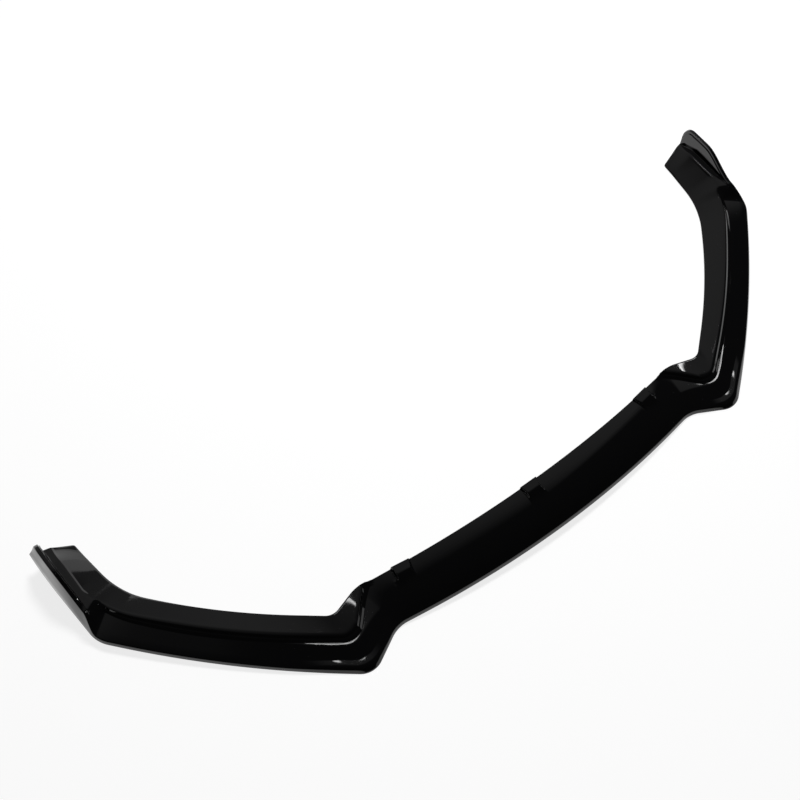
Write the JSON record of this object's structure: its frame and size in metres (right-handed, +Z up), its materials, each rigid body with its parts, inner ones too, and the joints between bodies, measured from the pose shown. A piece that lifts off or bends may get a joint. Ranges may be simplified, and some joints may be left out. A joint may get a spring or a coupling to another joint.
{
  "type": "front splitter lip",
  "caption": "Front splitter lip for a car: a thin gloss black moulding with a bowed middle ribbon, stepped wings, a raised inner band and upturned fins.",
  "frame": {"origin": "middle of the lip's footprint, on the floor it rests on", "axes": "+X across the car, -Y towards the front, +Z up"},
  "size_m": [1.6996, 0.5628, 0.088],
  "materials": {
    "lip": "gloss"
  },
  "bodies": {
    "root": {"lip": "lip"}
  },
  "joints": []
}
